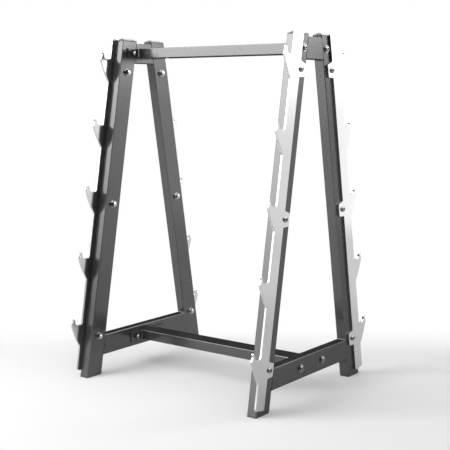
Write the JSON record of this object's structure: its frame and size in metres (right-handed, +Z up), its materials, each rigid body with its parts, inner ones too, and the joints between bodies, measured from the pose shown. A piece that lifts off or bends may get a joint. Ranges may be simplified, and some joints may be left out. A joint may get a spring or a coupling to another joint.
{
  "type": "barbell storage rack",
  "caption": "Free-standing A-frame rack for fixed barbells: leaning tube legs joined by two beams, with bolted hook plates whose cradles hold the bars.",
  "frame": {"origin": "on the floor, under the middle of the rack", "axes": "+X from the left A-frame to the right one, +Y from front to rear, +Z up"},
  "size_m": [0.8924, 0.7946, 1.3423],
  "materials": {
    "frame_paint": "glossy dark grey powder coat",
    "hook_metal": "bright plated steel plate",
    "fastener_steel": "dark zinc plate",
    "cap_plastic": "moulded black plastic",
    "foot_rubber": "moulded black rubber"
  },
  "bodies": {
    "root": {"leg_front_left": "frame_paint", "top_cap_front_left": "cap_plastic", "foot_plug_front_left": "foot_rubber", "hook_plate_front_left": "hook_metal", "hook_bolt_front_left_1": "fastener_steel", "hook_nut_front_left_1": "fastener_steel", "hook_bolt_front_left_2": "fastener_steel", "hook_nut_front_left_2": "fastener_steel", "hook_bolt_front_left_3": "fastener_steel", "hook_nut_front_left_3": "fastener_steel", "leg_front_right": "frame_paint", "top_cap_front_right": "cap_plastic", "foot_plug_front_right": "foot_rubber", "hook_plate_front_right": "hook_metal", "hook_bolt_front_right_1": "fastener_steel", "hook_nut_front_right_1": "fastener_steel", "hook_bolt_front_right_2": "fastener_steel", "hook_nut_front_right_2": "fastener_steel", "hook_bolt_front_right_3": "fastener_steel", "hook_nut_front_right_3": "fastener_steel", "leg_rear_left": "frame_paint", "top_cap_rear_left": "cap_plastic", "foot_plug_rear_left": "foot_rubber", "hook_plate_rear_left": "hook_metal", "hook_bolt_rear_left_1": "fastener_steel", "hook_nut_rear_left_1": "fastener_steel", "hook_bolt_rear_left_2": "fastener_steel", "hook_nut_rear_left_2": "fastener_steel", "hook_bolt_rear_left_3": "fastener_steel", "hook_nut_rear_left_3": "fastener_steel", "leg_rear_right": "frame_paint", "top_cap_rear_right": "cap_plastic", "foot_plug_rear_right": "foot_rubber", "hook_plate_rear_right": "hook_metal", "hook_bolt_rear_right_1": "fastener_steel", "hook_nut_rear_right_1": "fastener_steel", "hook_bolt_rear_right_2": "fastener_steel", "hook_nut_rear_right_2": "fastener_steel", "hook_bolt_rear_right_3": "fastener_steel", "hook_nut_rear_right_3": "fastener_steel", "cross_tube_left": "frame_paint", "top_spacer_left": "frame_paint", "low_end_plate_left": "frame_paint", "beam_bolt_low_front_left": "fastener_steel", "beam_bolt_low_rear_left": "fastener_steel", "top_end_plate_left": "frame_paint", "beam_bolt_top_front_left": "fastener_steel", "beam_bolt_top_rear_left": "fastener_steel", "cross_tube_right": "frame_paint", "top_spacer_right": "frame_paint", "low_end_plate_right": "frame_paint", "beam_bolt_low_front_right": "fastener_steel", "beam_bolt_low_rear_right": "fastener_steel", "top_end_plate_right": "frame_paint", "beam_bolt_top_front_right": "fastener_steel", "beam_bolt_top_rear_right": "fastener_steel", "low_beam": "frame_paint", "top_beam": "frame_paint"}
  },
  "joints": []
}
